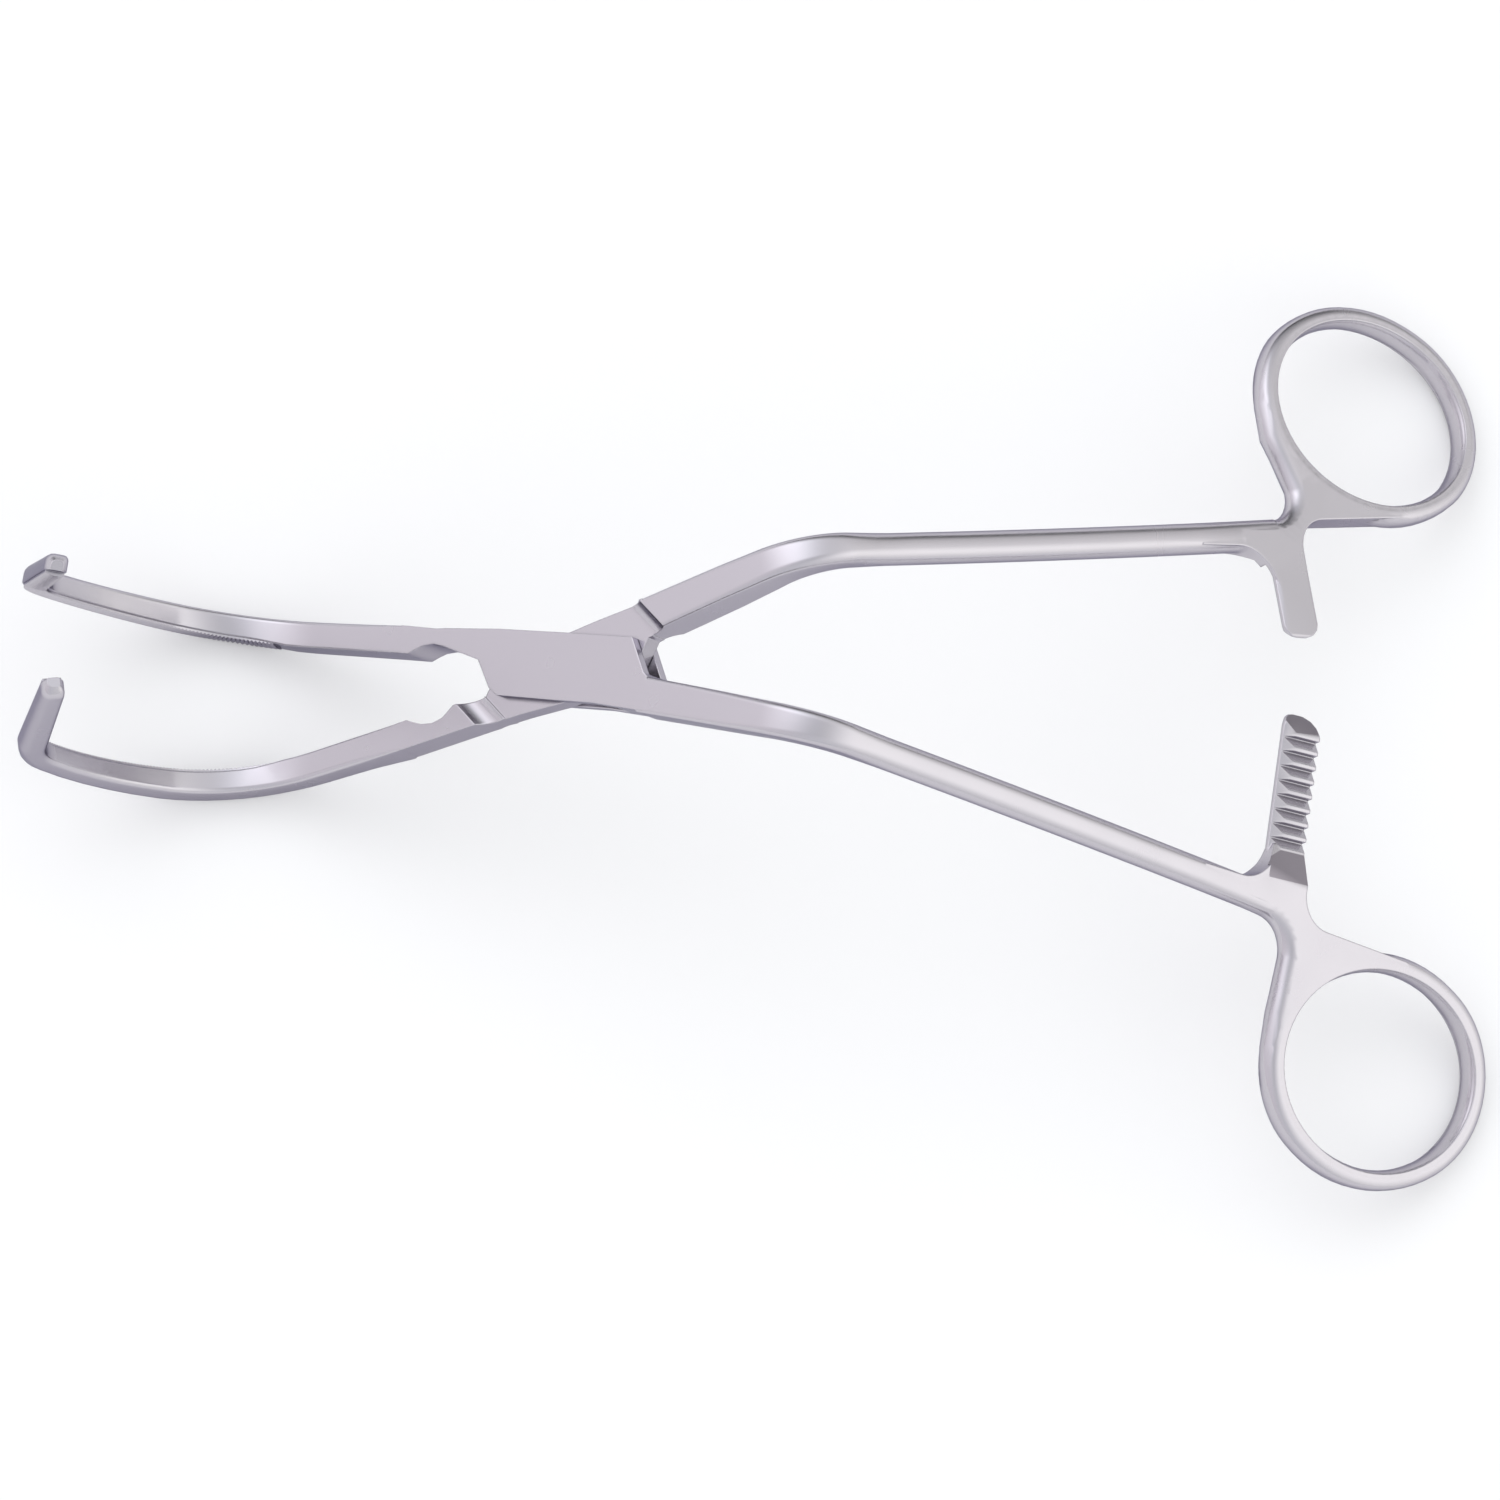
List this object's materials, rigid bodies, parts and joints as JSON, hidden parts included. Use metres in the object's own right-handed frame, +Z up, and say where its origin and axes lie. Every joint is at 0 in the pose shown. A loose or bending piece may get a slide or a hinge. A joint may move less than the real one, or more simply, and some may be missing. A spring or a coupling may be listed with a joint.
{
  "type": "vascular clamp",
  "caption": "Surgical vascular clamp with a box lock, double-bent toothed jaws, bent shanks, a ratchet and finger rings.",
  "frame": {"origin": "on the surface the clamp lies on, under the middle of its bounding box", "axes": "+X from the box lock towards the finger rings, along the clamp's long axis; +Z up; the box lock's pin leans back over the jaws, and the two arms open to either side of the XZ plane"},
  "size_m": [0.208, 0.1274, 0.0578],
  "materials": {
    "satin_steel": "satin",
    "pin_steel": "satin"
  },
  "bodies": {
    "box_half": {"box_arm": "satin_steel", "pivot_pin": "pin_steel"},
    "through_half": {"through_arm": "satin_steel"}
  },
  "joints": [
    {"name": "box_lock", "type": "hinge", "parent": "box_half", "child": "through_half", "pos_m": [-0.02992, 0, 0.03277], "axis": [-0.6428, 0, 0.766], "range_deg": [-17.2, 12]}
  ]
}
